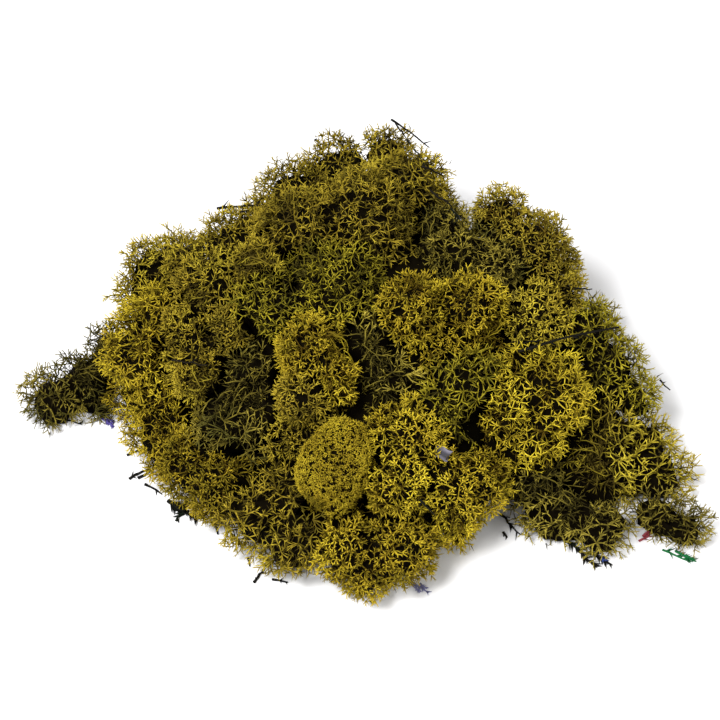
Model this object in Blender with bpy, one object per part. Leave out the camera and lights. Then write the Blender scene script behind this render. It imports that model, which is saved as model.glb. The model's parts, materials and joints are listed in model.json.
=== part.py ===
"""Moss clump: a heap of preserved reindeer moss, tufts standing side by side and pressed together.

Each tuft is one solid. It is a knot of round branching heads on one upright body, all fused, and it
stands on the ground plane z = 0, which cuts it flat. Where two tufts press on each other they part
along planes, with a small gap. A few stray twigs lie on the heads and beside the heap.

Front is -Y, right is +X, up is +Z. The origin is under the middle of the heap, on the ground plane.
"""
import math

import bmesh
import bpy
import numpy as np
from mathutils import Vector, noise
from mathutils.bvhtree import BVHTree

MM = 0.001

# Driving dimensions, in millimetres
DOME_HEIGHT = 84.0
DOME_CENTRE = (4.0, 20.0)
DOME_HALF_SIZES = (138.0, 118.0)
DOME_SQUARENESS = 1.5
DOME_FULLNESS = 0.6
DOME_LEAST = 0.002
TOUCH_GAP = 0.3

# A head: how far its top stands over the dome and how low its centre may sit, as shares of its radius
HEAD_RISE = 0.2
LOWEST_HEAD = 0.75

# Heads swell towards the top of the heap, where they press on each other, by up to this share
HEAD_SWELL = 0.38
SWELL_POWER = 1.5

# A tuft whose heads are on average higher than TALL has two body lobes, a lower one has one.
# A body's half width is a share of its heads' reach plus a grip, in head radii, on the heads.
TALL = 42.0
BODY_SPREAD = 0.75
LOW_GRIP = 0.5
TALL_GRIP = 1.4
TALL_LEAST = 25.0

# How far a low body stands in towards the dome's centre
LOW_SHIFT = 4.0

# Body lobes as (height of the centre, half height), both as a share of the heads' mean height
BODY_LEVELS_LOW = [(0.5, 0.65)]
BODY_LEVELS_TALL = [(0.28, 0.4), (0.7, 0.42)]

# A parting plane keeps at least this share of the way from either lobe's centre
SHARE_LIMIT = 0.3
LEAST_TOWARDS = 1e-9

# Knobbliness as a share of the radius, and the facets of each lobe
KNOB_HEIGHT = 0.07
KNOB_SCALE = 2.3
HEAD_POINTS = 36
BODY_POINTS = 20
CROWN_DETAIL = 1.3
SHORTEST_EDGES = (1.3, 1.0, 0.7, 0.4, 0.2, 0.05)
FLAT_ANGLE = math.radians(2.0)
SHARP_ANGLE = math.radians(50)

# Colour (red, green, blue), roughness and metallic value of each look
LOOKS = {
    "moss_gold": ((0.33, 0.25, 0.025), 0.85, 0.0),
    "moss_olive": ((0.21, 0.18, 0.025), 0.88, 0.0),
    "moss_green": ((0.17, 0.19, 0.025), 0.88, 0.0),
    "moss_brown": ((0.17, 0.11, 0.022), 0.9, 0.0),
    "moss_dusky": ((0.075, 0.075, 0.025), 0.92, 0.0),
    "twig": ((0.018, 0.016, 0.013), 0.7, 0.0),
}

# Each tuft: its look, how far its heads stand above or below the dome, and its heads as (x, y, radius)
TUFTS = {
    "summit": ("moss_olive", 13, [(-26, 64, 14), (-8, 84, 14), (3, 43, 17), (-22, 35, 15)]),
    "summit_peak": ("moss_olive", 18, [(11, 85, 12), (19, 59, 12)]),
    "back_right_cap": ("moss_brown", 15, [(57, 48, 11), (69, 35, 12)]),
    "left_fringe": ("moss_olive", 6, [(-88, 48, 9), (-76, 46, 10), (-67, 34, 11)]),
    "upper_left": ("moss_olive", 5, [(-50, 42, 14), (-58, 19, 14), (-39, 18, 12)]),
    "left_bright": ("moss_gold", 2, [(-81, 17, 10), (-84, 4, 9)]),
    "left_tail": ("moss_dusky", -12, [(-102, 19, 12), (-113, 13, 13), (-126, 4, 13)]),
    "left_flank": ("moss_gold", -14, [(-77, -10, 14), (-82, -21, 11), (-74, -28, 13)]),
    "mid_left": ("moss_olive", -2, [(-65, 3, 14), (-48, 0, 12), (-58, -13, 12)]),
    "centre_left": ("moss_dusky", -5, [(-43, -15, 16), (-36, -30, 14), (-50, -29, 14)]),
    "centre_top": ("moss_green", 3, [(-34, 7, 14), (-10, 11, 15), (-20, 24, 14)]),
    "bright_knot": ("moss_gold", 6, [(-17, -19, 11), (-11, -31, 9)]),
    "pale_knot": ("moss_olive", 5, [(-19, -36, 11)]),
    "lower_left": ("moss_gold", -6, [(-65, -40, 13), (-53, -49, 14)]),
    "front_left": ("moss_olive", -3, [(-40, -62, 14), (-27, -73, 13), (-15, -74, 13), (-26, -58, 11)]),
    "round_head": ("moss_gold", 6, [(-8, -55, 17)]),
    "front_knoll": ("moss_gold", 5, [(16, -49, 14), (14, -62, 15)]),
    "front_toe": ("moss_gold", 0, [(14, -76, 16), (2, -87, 10), (-6, -78, 14)]),
    "front_right": ("moss_gold", 3, [(44, -55, 13), (34, -64, 13), (32, -59, 14)]),
    "centre_knobs": ("moss_gold", 5, [(21, -2, 11), (42, 2, 12)]),
    "right_shoulder": ("moss_dusky", 3, [(40, 31, 14), (52, 20, 12), (32, 41, 12)]),
    "right_mid": ("moss_olive", 0, [(67, 9, 14), (78, 18, 13)]),
    "bright_cushion": ("moss_gold", 6, [(69, -23, 18), (56, -34, 14), (64, -38, 14)]),
    "open_branches": ("moss_green", 0, [(40, -25, 14), (32, -34, 10)]),
    "right_ridge": ("moss_green", 2, [(88, 11, 13), (98, 0, 13), (105, -9, 13)]),
    "right_flank": ("moss_olive", 0, [(96, -23, 16), (114, -19, 13), (118, -34, 14), (92, -37, 17)]),
    "right_toe": ("moss_dusky", -4, [(80, -53, 14), (67, -46, 12), (94, -60, 13)]),
    "right_tail": ("moss_dusky", 0, [(127, -59, 10), (118, -54, 11)]),
    "centre_dip": ("moss_dusky", -9, [(3, -8, 14), (8, -22, 14)]),
    "back_slope_left": ("moss_olive", -5, [(-36, 70, 13), (-18, 88, 14)]),
    "back_slope_right": ("moss_olive", -7, [(5, 98, 13), (17, 90, 12), (28, 79, 12)]),
    "back_left_foot": ("moss_olive", -20, [(-78, 62, 12), (-56, 66, 14)]),
    "back_foot_left": ("moss_olive", -22, [(-28, 94, 14), (-44, 82, 12)]),
    "back_foot": ("moss_brown", -22, [(-5, 108, 14), (15, 108, 14)]),
    "back_middle_foot": ("moss_brown", -30, [(38, 72, 14)]),
    "back_right_foot": ("moss_olive", -20, [(59, 76, 14), (76, 61, 14)]),
    "right_back_foot": ("moss_dusky", -26, [(95, 36, 13)]),
}

# Twigs that lie across the heads: the two ends as (x, y, z) before they are raised, and the radius
TWIGS_ON_HEADS = {
    "twig_right": ((61, -15, 50), (102, 3, 44), 0.8),
    "twig_crest": ((13, 97, 64), (28, 72, 72), 0.6),
    "twig_upper_left": ((-58, 55, 54), (-38, 53, 58), 0.7),
}
# Twigs that lie on the ground in front of the heap: the two ends as (x, y) and the radius
TWIGS_ON_GROUND = {
    "twig_front_left": ((-93, -31), (-85, -26), 0.7),
    "twig_front": ((-41, -81), (-37, -74), 0.7),
}
TWIG_POINTS = 7
TWIG_BEND = 0.03
TWIG_TESTS = 24
TWIG_STEP = 0.1


def clear_scene():
    """Remove whatever objects the file starts with."""
    for obj in list(bpy.data.objects):
        bpy.data.objects.remove(obj, do_unlink=True)


def make_material(name):
    """One plain Principled material for each look."""
    colour, roughness, metallic = LOOKS[name]
    material = bpy.data.materials.new(name)
    material.use_nodes = True
    shader = material.node_tree.nodes["Principled BSDF"]
    shader.inputs["Base Color"].default_value = (*colour, 1.0)
    shader.inputs["Roughness"].default_value = roughness
    shader.inputs["Metallic"].default_value = metallic
    return material


def dome(x, y):
    """Height of the smooth dome that the heads follow: a superellipse's rise, raised to a power."""
    across = abs((x - DOME_CENTRE[0]) / DOME_HALF_SIZES[0]) ** DOME_SQUARENESS
    along = abs((y - DOME_CENTRE[1]) / DOME_HALF_SIZES[1]) ** DOME_SQUARENESS
    return DOME_HEIGHT * max(1.0 - across - along, DOME_LEAST) ** DOME_FULLNESS


def make_head(x, y, radius, lift):
    """A head as (centre, half sizes): a ball whose top stands a little above the dome."""
    top = dome(x, y) + lift + HEAD_RISE * radius
    swollen = radius * (1.0 + HEAD_SWELL * (dome(x, y) / DOME_HEIGHT) ** SWELL_POWER)
    z = max(top - swollen, LOWEST_HEAD * radius)
    return Vector((x, y, z)), Vector((swollen, swollen, swollen))


def make_bodies(heads):
    """The upright body from the ground up into a tuft's heads: one lobe, or two where it is tall."""
    middle = sum((centre for centre, _ in heads), Vector()) / len(heads)
    reach = max((centre.xy - middle.xy).length for centre, _ in heads)
    mean_radius = sum(half.x for _, half in heads) / len(heads)
    if middle.z < TALL:
        width = BODY_SPREAD * reach + LOW_GRIP * mean_radius
        levels = BODY_LEVELS_LOW
        inwards = Vector((*DOME_CENTRE, middle.z)) - middle
        middle += inwards.normalized() * LOW_SHIFT
    else:
        width = max(BODY_SPREAD * reach + TALL_GRIP * mean_radius, TALL_LEAST)
        levels = BODY_LEVELS_TALL
    bodies = []
    for level, rise in levels:
        centre = Vector((middle.x, middle.y, middle.z * level))
        bodies.append((centre, Vector((width, width, middle.z * rise))))
    return bodies


def spread_directions(count):
    """Unit vectors spread over a ball by the golden angle, closer together on its crown than below.

    Turned upside down they serve a body, which needs its detail at the flat foot.
    """
    step = np.arange(count)
    z = 1.0 - 2.0 * ((step + 0.5) / count) ** CROWN_DETAIL
    turn = step * math.pi * (3.0 - math.sqrt(5.0))
    ring = np.sqrt(1.0 - z * z)
    return np.stack([ring * np.cos(turn), ring * np.sin(turn), z], axis=1)


def reach_along(half, direction):
    """How far an ellipsoid of these half sizes reaches from its centre towards a direction."""
    return 1.0 / math.sqrt(sum((direction[i] / half[i]) ** 2 for i in range(3)))


def parting_share(lobe, other):
    """The plane between two lobes of different tufts: its unit normal and distance from lobe."""
    between = other[0] - lobe[0]
    apart = between.length
    normal = between / apart
    mine = reach_along(lobe[1], normal)
    theirs = reach_along(other[1], normal)
    share = 0.5 + (mine * mine - theirs * theirs) / (2.0 * apart * apart)
    share = min(max(share, SHARE_LIMIT), 1.0 - SHARE_LIMIT)
    return normal, apart * share - TOUCH_GAP / 2.0


def lobe_points(lobe, others, directions):
    """Surface points of one lobe: knobbly, cut at the ground and at its planes with other tufts."""
    centre, half = lobe
    reach = 1.0 / np.sqrt(((directions / np.array(half)) ** 2).sum(axis=1))
    seed = centre * KNOB_HEIGHT
    knobs = np.array([noise.noise(Vector(d) * KNOB_SCALE + seed) for d in directions])
    reach = reach * (1.0 + KNOB_HEIGHT * knobs)
    down = np.maximum(-directions[:, 2], LEAST_TOWARDS)
    reach = np.minimum(reach, centre.z / down)
    for other in others:
        normal, distance = parting_share(lobe, other)
        if distance > max(half):
            continue
        towards = np.maximum(directions @ np.array(normal), LEAST_TOWARDS)
        reach = np.minimum(reach, distance / towards)
    return (np.array(centre) + directions * reach[:, None]) * MM


def lobe_mesh(name, lobe, others, directions):
    """A closed mesh through a lobe's surface points, joined up as the ball's own hull is."""
    points = lobe_points(lobe, others, directions)
    work = bmesh.new()
    corners = [work.verts.new(d) for d in directions]
    bmesh.ops.convex_hull(work, input=corners)
    work.verts.ensure_lookup_table()
    for corner, point in zip(corners, points):
        corner.co = point
    bmesh.ops.recalc_face_normals(work, faces=work.faces)
    mesh = bpy.data.meshes.new(name)
    work.to_mesh(mesh)
    work.free()
    return mesh


def fuse(target, lobe_meshes):
    """Join lobes into the target object by Boolean unions, and keep only the resulting mesh."""
    for mesh in lobe_meshes:
        tool = bpy.data.objects.new("tool", mesh)
        bpy.context.collection.objects.link(tool)
        union = target.modifiers.new("union", "BOOLEAN")
        union.operation = "UNION"
        union.solver = "EXACT"
        union.object = tool
        bpy.context.view_layer.update()
        evaluated = target.evaluated_get(bpy.context.evaluated_depsgraph_get())
        fused = bpy.data.meshes.new_from_object(evaluated)
        target.modifiers.clear()
        target.data = fused
        bpy.data.objects.remove(tool, do_unlink=True)


def cleaned(mesh, shortest):
    """A copy of a fused mesh without edges under this length and without flat seams."""
    work = bmesh.new()
    work.from_mesh(mesh)
    bmesh.ops.dissolve_degenerate(work, dist=shortest * MM, edges=work.edges)
    bmesh.ops.dissolve_limit(work, angle_limit=FLAT_ANGLE, verts=work.verts, edges=work.edges)
    bmesh.ops.triangulate(work, faces=work.faces)
    return work


def finish_mesh(mesh, name, material):
    """Collapse the short edges that the unions left, as far as the tuft stays closed, and shade it."""
    for shortest in SHORTEST_EDGES:
        work = cleaned(mesh, shortest)
        closed = all(edge.is_manifold and edge.is_contiguous for edge in work.edges)
        if closed:
            work.to_mesh(mesh)
        work.free()
        if closed:
            break
    mesh.name = name
    mesh.materials.clear()
    mesh.materials.append(material)
    mesh.shade_smooth()
    mesh.set_sharp_from_angle(angle=SHARP_ANGLE)


def build_tufts(materials):
    """Every tuft as one solid, parted from all the others."""
    lobes = {}
    for name, (_, lift, heads) in TUFTS.items():
        balls = [make_head(x, y, radius, lift) for x, y, radius in heads]
        lobes[name] = make_bodies(balls) + balls
    head_directions = spread_directions(HEAD_POINTS)
    body_directions = spread_directions(BODY_POINTS) * np.array([1.0, 1.0, -1.0])
    tufts = []
    for name, own in lobes.items():
        others = [lobe for other, group in lobes.items() if other != name for lobe in group]
        bodies = len(own) - len(TUFTS[name][2])
        meshes = [lobe_mesh(name, lobe, others, body_directions) for lobe in own[:bodies]]
        meshes += [lobe_mesh(name, lobe, others, head_directions) for lobe in own[bodies:]]
        tuft = bpy.data.objects.new(name, meshes[0])
        bpy.context.collection.objects.link(tuft)
        fuse(tuft, meshes[1:])
        finish_mesh(tuft.data, name, materials[TUFTS[name][0]])
        tufts.append(tuft)
    return tufts


def surface_tree(tufts):
    """A search tree over every tuft's surface, in millimetres."""
    corners, faces = [], []
    for tuft in tufts:
        first = len(corners)
        corners += [vertex.co / MM for vertex in tuft.data.vertices]
        faces += [[first + corner for corner in face.vertices] for face in tuft.data.polygons]
    return BVHTree.FromPolygons(corners, faces)


def clear_of(tree, spot, clearance):
    """Whether a spot is outside the heap, with nothing over it and this far from its surface."""
    open_above = tree.ray_cast(spot, Vector((0.0, 0.0, 1.0)))[0] is None
    return open_above and tree.find_nearest(spot)[3] >= clearance


def laid_on(tree, start, end, clearance):
    """The ends of a straight stick, raised until all of it is just clear of the heads under it."""
    start, end = Vector(start), Vector(end)
    shares = [step / TWIG_TESTS for step in range(TWIG_TESTS + 1)]
    while not all(clear_of(tree, start.lerp(end, share), clearance) for share in shares):
        start.z += TWIG_STEP
        end.z += TWIG_STEP
    return start, end


def make_twig(name, points, radius, material):
    """A round stick along a list of points, as a tube with filled ends."""
    curve = bpy.data.curves.new(name, "CURVE")
    curve.dimensions = "3D"
    curve.bevel_depth = radius * MM
    curve.bevel_resolution = 1
    curve.use_fill_caps = True
    spline = curve.splines.new("POLY")
    spline.points.add(len(points) - 1)
    for spot, point in zip(spline.points, points):
        spot.co = (*(point * MM), 1.0)
    curve.materials.append(material)
    twig = bpy.data.objects.new(name, curve)
    bpy.context.collection.objects.link(twig)


def bowed(start, end, sag):
    """Points from start to end along a flat arc that bows by sag."""
    points = []
    for step in range(TWIG_POINTS):
        share = step / (TWIG_POINTS - 1)
        points.append(start.lerp(end, share) + sag * math.sin(math.pi * share))
    return points


def build_twigs(tufts, material):
    """The stray twigs: some rest across the heads, the others on the ground."""
    tree = surface_tree(tufts)
    for name, (start, end, radius) in TWIGS_ON_HEADS.items():
        low, high = laid_on(tree, start, end, radius + TOUCH_GAP)
        sag = Vector((0.0, 0.0, (high - low).length * TWIG_BEND))
        make_twig(name, bowed(low, high, sag), radius, material)
    for name, (start, end, radius) in TWIGS_ON_GROUND.items():
        low, high = Vector((*start, radius)), Vector((*end, radius))
        along = high - low
        sag = Vector((-along.y, along.x, 0.0)) * TWIG_BEND
        make_twig(name, bowed(low, high, sag), radius, material)


def centre_heap():
    """Move everything so that the middle of the heap's box stands over the origin."""
    bpy.context.view_layer.update()
    corners = [obj.matrix_world @ Vector(corner) for obj in bpy.data.objects for corner in obj.bound_box]
    low = [min(corner[axis] for corner in corners) for axis in range(2)]
    high = [max(corner[axis] for corner in corners) for axis in range(2)]
    for obj in bpy.data.objects:
        obj.location = (-(low[0] + high[0]) / 2, -(low[1] + high[1]) / 2, 0.0)


def build():
    clear_scene()
    materials = {name: make_material(name) for name in LOOKS}
    tufts = build_tufts(materials)
    build_twigs(tufts, materials["twig"])
    centre_heap()


build()
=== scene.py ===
"""Looks of the moss clump: finely forked reindeer moss grown in the form of each packed tuft.

Lengths here are in millimetres until a mesh is made, which is in metres. Every tuft is grown from the
outside in. Its tips are scattered over its solid, and each inner tier has fewer places, deeper down,
to which the tier outside it is joined by curved branches.
"""

import json
import math

import bpy
import numpy as np
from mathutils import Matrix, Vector
from mathutils.bvhtree import BVHTree


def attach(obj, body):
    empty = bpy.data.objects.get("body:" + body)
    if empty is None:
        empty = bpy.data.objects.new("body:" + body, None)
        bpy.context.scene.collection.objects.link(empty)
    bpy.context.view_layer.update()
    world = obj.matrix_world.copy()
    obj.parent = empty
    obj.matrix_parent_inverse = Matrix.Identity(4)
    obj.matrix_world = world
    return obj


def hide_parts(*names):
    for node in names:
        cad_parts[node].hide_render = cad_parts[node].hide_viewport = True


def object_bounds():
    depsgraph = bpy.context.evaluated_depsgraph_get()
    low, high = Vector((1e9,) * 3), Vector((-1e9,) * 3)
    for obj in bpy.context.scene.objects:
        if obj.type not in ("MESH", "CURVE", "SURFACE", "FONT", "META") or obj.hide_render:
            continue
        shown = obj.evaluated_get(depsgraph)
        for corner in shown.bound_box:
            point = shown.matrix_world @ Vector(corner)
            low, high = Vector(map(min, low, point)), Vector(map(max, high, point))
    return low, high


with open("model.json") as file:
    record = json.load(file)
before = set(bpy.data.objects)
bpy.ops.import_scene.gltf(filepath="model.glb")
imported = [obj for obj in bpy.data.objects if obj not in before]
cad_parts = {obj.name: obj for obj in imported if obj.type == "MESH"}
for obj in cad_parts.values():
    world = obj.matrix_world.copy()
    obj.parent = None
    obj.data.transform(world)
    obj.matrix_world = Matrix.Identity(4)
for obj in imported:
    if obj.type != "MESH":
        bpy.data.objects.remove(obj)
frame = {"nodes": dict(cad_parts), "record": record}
CAD_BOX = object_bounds()

METRE = 1000.0
# Where the random draws start: those of the twigs, of the crumbs, and of the first tuft
SEEDS = dict(twigs=7, crumbs=8, moss=100)
TURN = 2 * math.pi
UP = np.array([0.0, 0.0, 1.0])
# Directions that hardly any normal or branch lies along, from which one square to it is found
ASKEW = dict(ray=(0.36, 0.48, 0.8), star=(0.31, 0.52, 0.8), thorn=(0.52, 0.31, 0.8))
# How close to the floor each kind of part may come
LOWEST = dict(fork=0.6, stem=0.4, arm=0.3, thorn=0.2, tube=0.1)
# Smooth noise: the length of its waves in millimetres, its seed and its strength
NOISE = dict(creases=(34.0, 21, 0.9), dimples=(13.0, 5, 0.6), swell=(30.0, 6, 0.5), tint=(26.0, 11, 0.26),
             fleck=(7.0, 12, 0.2), mat=(9.0, 3, 0.2))
# It sums this many waves, whose turning speed varies by this much
WAVES = 8
WAVE_SPEEDS = (0.6, 1.5)
# Rays that look for the sky: how many stand on a cone round the normal, the cone's sine and cosine, how
# far off a place they start, how far they reach, and how far down one may point and still count
CONE_RAYS = 8
CONE = (0.8, 0.6)
RAY_START = 0.5
RAY_REACH = 60.0
RAY_DOWN = -0.5

# Random places: how many are tried for each branch end, how far they are pushed out to round the facets,
# as a share of the full rule, how far from the middle of its cell a chosen one may lie and how much chance
# counts beside that, both in cells, and how low and how far down-facing those on the flat underside are
TRIES = 16
ROUNDING = 0.7
CELL_CORE = 0.62
CELL_CHANCE = 0.5
UNDERSIDE = (0.8, -0.5)
# Creases between heads, where less than CREASE_OPEN of the rays go free, are filled by up to CREASE_FILL.
# A crease is shut by half, more or less by smooth noise, and gets painted shade of CREASE_DARK less that.
# No branch ends where only LEAST_SKY of them go free, and every one does where ALL_SKY more do, or sooner
# in hollows. SHADE is how much painted shade lowers the age, and so darkens, the branches deep in a crease
# or hollow. An end's painted shade from sinking is full at FULLY_SUNK times the relief of its tuft, which
# counts as LEAST_RELIEF at least.
CREASE_FILL = 5.0
CREASE_OPEN = 0.5
CREASE_SHUT = 0.5
CREASE_DARK = 1.1
LEAST_SKY = 0.04
ALL_SKY = 0.25
HOLLOW_MORE = 2.0
SHADE = 0.34
FULLY_SUNK = 1.6
LEAST_RELIEF = 1.5

# How moss grows in each habit. star is the spacing of the star-shaped branch ends, arms how many arms they
# have, reach an arm's length as a share of that spacing, spread how far in degrees the arms lean from the
# star's axis, facing how much that axis points out of the tuft instead of along its own branch, tip the
# radius of an arm, bent whether the arms are curved, bud the size of the small round heads, relief how
# deep the creases between them are, stray the share of ends that stand proud, and mat how far the dark
# mat under the branches is drawn in.
# The dark mat is a near-black sheet of painted shade under the branches.
HABITS = {
    "velvet": dict(star=1.75, arms=(4, 6), reach=0.95, spread=62, facing=3.0, tip=0.2, bent=False,
                   bud=40.0, relief=0.25, stray=0.0, mat=1.6),
    "fine": dict(star=2.9, arms=(3, 4), reach=0.85, spread=50, facing=1.0, tip=0.21, bent=True,
                 bud=10.0, relief=2.6, stray=0.06, mat=5.5),
    "forked": dict(star=3.1, arms=(2, 4), reach=0.9, spread=48, facing=0.6, tip=0.21, bent=True,
                   bud=10.0, relief=3.2, stray=0.08, mat=7.0),
    "star": dict(star=3.5, arms=(2, 4), reach=0.95, spread=58, facing=0.7, tip=0.2, bent=True,
                 bud=11.0, relief=2.8, stray=0.06, mat=7.0),
    "open": dict(star=3.8, arms=(2, 3), reach=0.95, spread=44, facing=0.4, tip=0.22, bent=True,
                 bud=11.0, relief=3.8, stray=0.10, mat=7.0),
    "lacy": dict(star=3.4, arms=(2, 3), reach=0.9, spread=44, facing=0.5, tip=0.21, bent=True,
                 bud=9.0, relief=3.2, stray=0.14, mat=6.5),
    "hidden": dict(star=4.9, arms=(3, 5), reach=0.9, spread=48, facing=0.9, tip=0.34, bent=False,
                   bud=11.0, relief=2.8, stray=0.06, mat=6.0),
}
# How far an end sinks: where the side of a small head is, in its size, and where it stops falling, how much
# of the relief its top stands up, how far ends sink at random and the proud ones rise, in spacings, and
# the highest that one may stand
DROP = dict(side=0.6, foot=1.3, top=0.25, random=0.5, proud=(0.3, 1.0), highest=-1.5)
# The tiers of forks under the ends: their spacing and their depth, both in spacings of the ends. Then the
# depth past which none goes, and how far forks stray and how much the stars' axes do.
TIERS = ((1.0, 0.25), (1.9, 0.5), (3.6, 1.5), (7.0, 3.4))
DEEPEST = 10.0
FORK_STRAY = 0.12
AXIS_STRAY = 0.25
# Tubes: how many sides they have, how far the turn of their sides moves on from one to the next, how much
# their thickness varies, how much their tint varies round them, and the oldest that shade makes them. A tube
# steeper than STEEP, the height of its direction, takes its sides from the x axis instead of from up.
SIDES = 3
SPIN = 2.4
STEEP = 0.8
VARIED = (0.85, 1.15)
ROUND_TINT = 0.02
OLDEST = 0.1
# The lowest and highest tint, and how much each kind of branch varies in tint
TINT_ENDS = (0.03, 0.97)
TINT_SPREAD = dict(stem=0.06, arm=0.07, undergrowth=0.08)
# The stems between the tiers, from the ends inwards: their age and their width in tips, from foot to end,
# how many points a straight one has, and how far along it side shoots stand. Age is 0 where a branch is
# oldest, at its base, and 1 at its tips.
# Inner tiers have lower ages and so darker colours: partly the moss's own darker base, partly painted shade.
STEMS = (
    dict(ages=(0.68, 0.82), widths=(1.25, 1.1), points=2, shoots=(0.55,)),
    dict(ages=(0.5, 0.68), widths=(1.55, 1.3), points=3, shoots=(0.35, 0.7)),
    dict(ages=(0.28, 0.5), widths=(2.0, 1.6), points=4, shoots=(0.3, 0.6)),
)
# How far their ends turn out of the straight line, how hard those pull, how far the points stray, how long
# the shoots are, in spacings, and how much older than the stem's end
STEM = dict(rise=0.5, pull=0.9, stray=0.05, shoot=0.55, shoot_age=0.05)
# The stems under the innermost forks: where they start, as shares of the way from the middle of the tuft's
# foot, how many points they have, how far these stray, and their width in tips and age, with their change
# Their low ages keep them very dark: partly the moss's own dark base, partly painted shade.
ROOT = dict(foot=(0.35, 0.35, 0.25), points=4, stray=0.03, width=(2.6, -0.6), age=(0.1, 0.18))
# The arms of a star: how much their turns, leans and lengths vary, and how far their ends fork off. Then the
# length and the lean of both stretches of an arm, as shares, a bent one's widths and ages along it, and a
# straight one's age. Its prong turns away in turns of the fork.
ARM = dict(shake=0.25, lean=(0.65, 1.2), length=(0.7, 1.3), fork=(0.4, 0.8), stretches=(0.66, 0.4),
           leans=(0.85, 1.15), widths=(1.1, 1.0, 0.0), ages=(0.8, 0.9, 1.0), straight_age=0.74)
PRONG = dict(turn=1.5, lean=1.05, length=(0.3, 0.5), back=0.1, width=0.9, age=0.84)
# How thin the stems of a straight-armed habit are
STRAIGHT_STEM = 0.85
# Undergrowth: how many shoots an end in a hollow has, how deep they stand, in steps of spacings, how far
# they stray, how much they point out and at random, and their length, width and age
UNDERGROWTH = dict(in_hollow=5, depth=(0.6, 2.2), step=0.75, stray=0.4, out=0.5, random=0.6,
                   length=(0.7, 1.3), width=1.25, age=0.4)
# Side shoots: how much they lean out, how their length varies, and their width. A thorn's triangles, how
# much younger its point is, and how its corners differ in tint.
SPIKE = dict(lean=0.8, length=(0.6, 1.3), width=0.9)
THORN_FACES = np.array([(0, 2, 1), (0, 1, 3), (1, 2, 3), (2, 0, 3)])
THORN_AGES = np.array([0.0, 0.0, 0.0, 0.16])
THORN_TINTS = np.array([0.02, -0.01, -0.01, 0.0])

# The dark mat under the branches, a near-black sheet of painted shade: it is drawn in by nothing where the
# share of free rays is sheltered, and fully where it is open more. At the floor that is only the share low,
# and from high up the whole. It never goes further than the share most of the way to the far side, which a
# ray from just inside finds. Its age and its tint are each a lowest value and a rise; its ages keep it at
# the inside's painted shade.
MAT = dict(sheltered=-0.08, open=0.4, low=0.35, high=14.0, most=0.42, inside=0.2, age=(0.02, 0.05),
           tint=(0.02, 0.96))

# The photograph's view: it looks down at 50 degrees from 800 mm, at this point of the heap, which shows at
# its middle, and at that distance one millimetre is two and a half pixels
ELEVATION = math.radians(50.0)
DISTANCE = 800.0
AIM = np.array([1.2, -11.8, 36.3])
MIDDLE = 360.0
PIXELS_FAR = 2000.0
BACK = np.array([0.0, -math.cos(ELEVATION), math.sin(ELEVATION)])
CAMERA_UP = np.array([0.0, math.sin(ELEVATION), math.cos(ELEVATION)])
CAMERA_RIGHT = np.array([1.0, 0.0, 0.0])

# The hollows between the small heads, where ends sink and get painted shade: column and row in the
# photograph, and radius in millimetres
HOLLOWS = {
    "summit_right": (421, 229, 6.0), "summit_foot_right": (405, 266, 7.0), "summit_foot": (385, 277, 5.6),
    "summit_foot_left": (251, 260, 6.0), "centre_top_upper": (300, 259, 5.6), "upper_left": (195, 303, 4.4),
    "centre_top_lower": (251, 328, 4.8), "left_bright": (161, 359, 4.4), "dip_upper": (340, 334, 4.8),
    "dip_left": (354, 355, 7.6), "dip_lower": (362, 384, 6.4), "dip_middle": (388, 361, 3.6),
    "knobs_right": (496, 338, 4.8), "centre_left": (206, 396, 7.2), "centre_left_inner": (243, 392, 6.2),
    "round_head_right": (372, 465, 3.6), "above_scrap": (465, 425, 4.8), "beside_scrap": (466, 446, 5.6),
    "front_right_edge": (509, 480, 4.0), "toe_left": (530, 494, 5.0), "toe_upper": (560, 478, 6.0),
    "toe_middle": (570, 505, 6.0), "cushion_right": (598, 412, 5.6), "flank_upper": (595, 445, 6.4),
    "flank_lower": (600, 485, 6.4), "tail_upper": (100, 343, 4.0), "tail_root": (96, 370, 5.6),
}
# How wide a hollow is in its radii, how far the ends sink in it, and from which of its depths, up to 1, more
# undergrowth shows and runners start
HOLLOW_WIDTH = 1.25
HOLLOW_DEPTH = 4.5
HOLLOW_EDGE = 0.3
HOLLOW_HEART = 0.5
# The bare runners across a hollow: one for how many ends, their points, length and depth, the share of this
# at their far end, how much they rise at first, how far they stray, their widths, ages and tints, and where
# their side shoots stand, how long these are and their age
RUNNER = dict(ends=3, points=6, length=(6.0, 11.0), depth=(2.0, 5.0), far_end=0.6, rise=0.7, stray=0.02,
              widths=(1.5, 0.9), ages=(0.5, 0.72), tints=(0.3, 0.9), shoots=(0.35, 0.6, 0.8, 0.95),
              shoot=2.6, shoot_age=0.6)
# The dark matted inside, a near-black body of painted shade: the size of its squares, how far it lies under
# the heap's top, the height of its base, the gaps that it closes and how far it is drawn in from the heap's
# outline, both in squares, how high the heap is round about where gaps are closed, and its age and its tint,
# each a lowest value and a rise
INSIDE_CELL = 4.0
INSIDE_DEPTH = 12.0
INSIDE_BASE = 0.3
GAP_SQUARES = 2
INSET_SQUARES = 4
HIGH_HEAP = 30.0
MATTED_AGE = (0.02, 0.06)
MATTED_TINT = (0.05, 0.9)
# A height that is clear of everything, the heights at which a line of sight is tried, and how much further
# off than the closest a place may be and still count as the closest
ABOVE = 200.0
SIGHT_HEIGHTS = np.arange(110.0, 0.0, -0.5)
SAME_GAP = 0.01

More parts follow.
